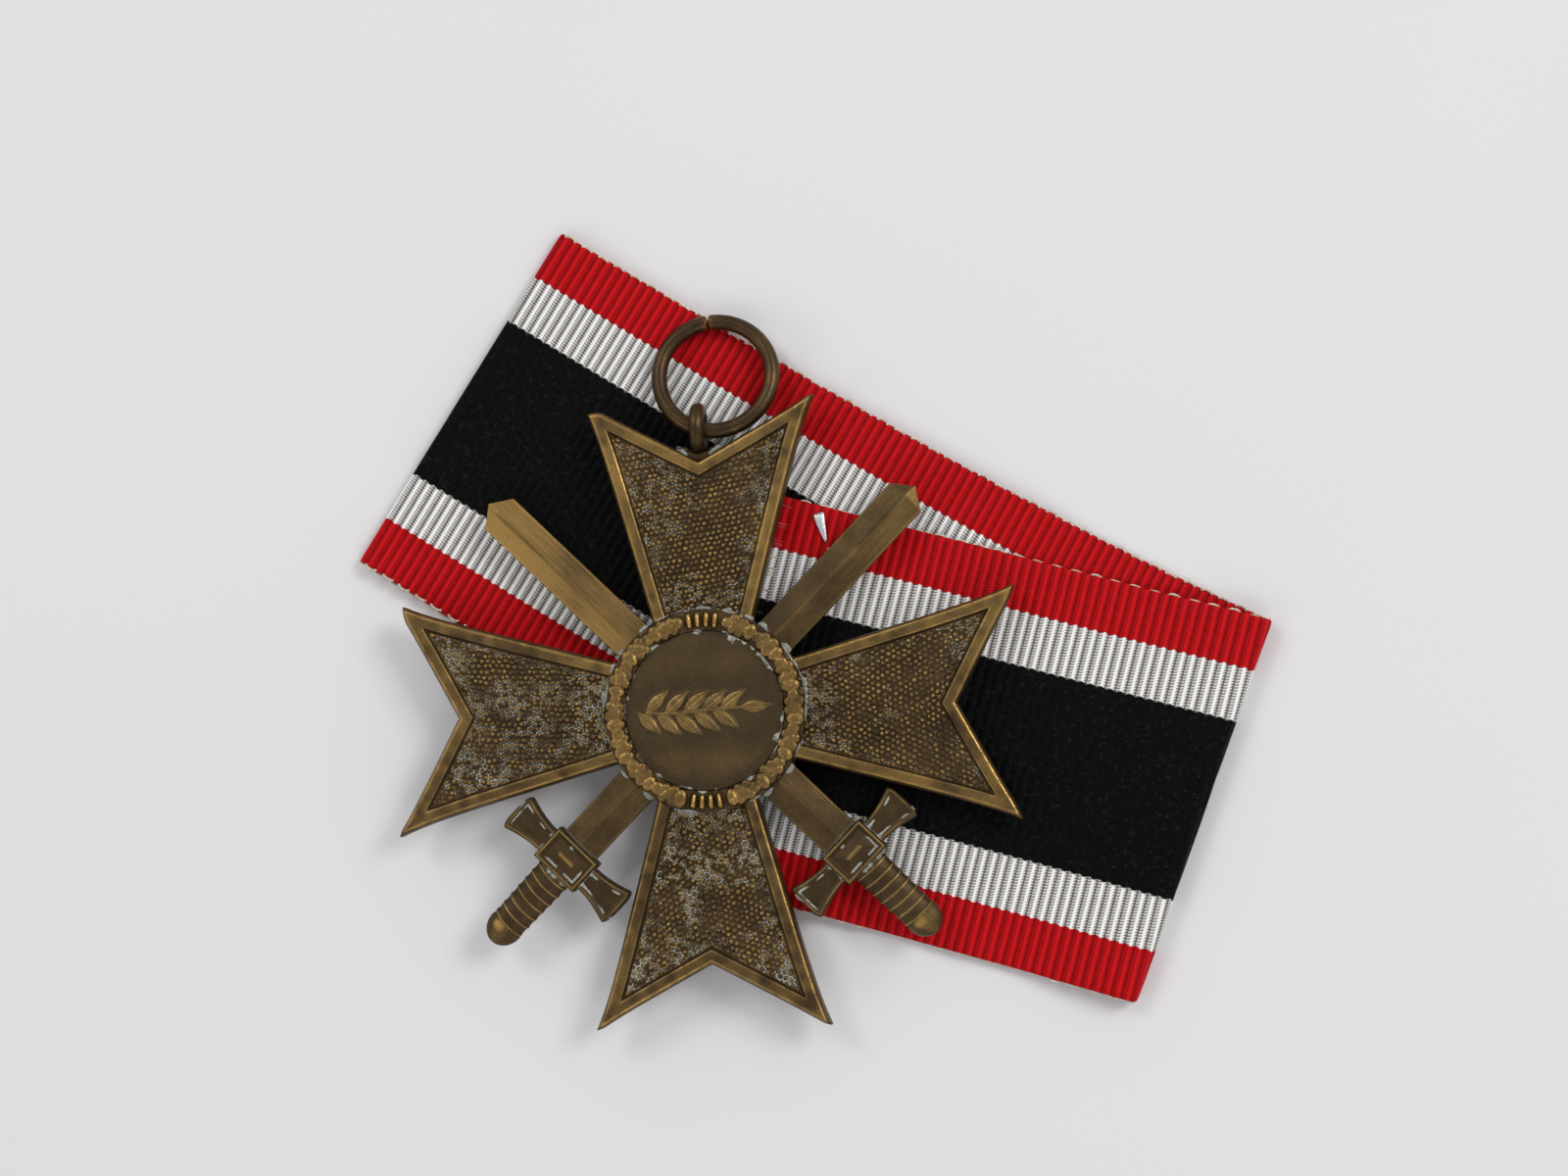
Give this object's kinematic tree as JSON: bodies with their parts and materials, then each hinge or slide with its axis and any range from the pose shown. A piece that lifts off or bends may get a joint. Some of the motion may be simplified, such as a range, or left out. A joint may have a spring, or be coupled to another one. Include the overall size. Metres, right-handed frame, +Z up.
{
  "type": "medal",
  "caption": "Bronze cross with notched flared arms, crossed swords, a round wreath and a hanging ring, lying loose on its folded striped ribbon.",
  "frame": {"origin": "on the table, straight under the centre of the cross, on the underside of the ribbon's lowest layer", "axes": "+Z up from the table, +Y from the cross's centre towards its hanging ring, +X to the right of the front face"},
  "size_m": [0.0699, 0.0616, 0.0049],
  "materials": {
    "cross_bronze": "aged brown bronze, rims rubbed brighter, pale deposit in the pebbled fields",
    "worn_bronze": "aged bronze rubbed bright on its high points",
    "disc_bronze": "smooth brown bronze",
    "sword_bronze": "aged bronze with fine drawn scratches",
    "wire_bronze": "aged bronze wire",
    "ribbon_cloth": "ribbed woven ribbon in red, white, black, white and red stripes",
    "staple_wire": "bright plated wire"
  },
  "bodies": {
    "ribbon_base": {"ribbon": "ribbon_cloth", "staple": "staple_wire"},
    "cross_body": {"cross_plate": "cross_bronze", "wreath_front": "worn_bronze", "wreath_back": "worn_bronze", "disc_front": "disc_bronze", "disc_back": "disc_bronze", "blade_end_left": "sword_bronze", "blade_end_right": "sword_bronze", "hilt_left": "sword_bronze", "hilt_right": "sword_bronze", "hanging_eye": "wire_bronze"},
    "ring_body": {"split_ring": "wire_bronze"}
  },
  "joints": [
    {"name": "medal_lift", "type": "slide", "parent": "ribbon_base", "child": "cross_body", "axis": [0, 0, 1], "range_m": [0, 0.03]},
    {"name": "ring_swing", "type": "hinge", "parent": "cross_body", "child": "ring_body", "pos_m": [0, 0.02145, 0.00295], "axis": [0.9805, -0.127, 0.1499], "range_deg": [0, 110]}
  ]
}
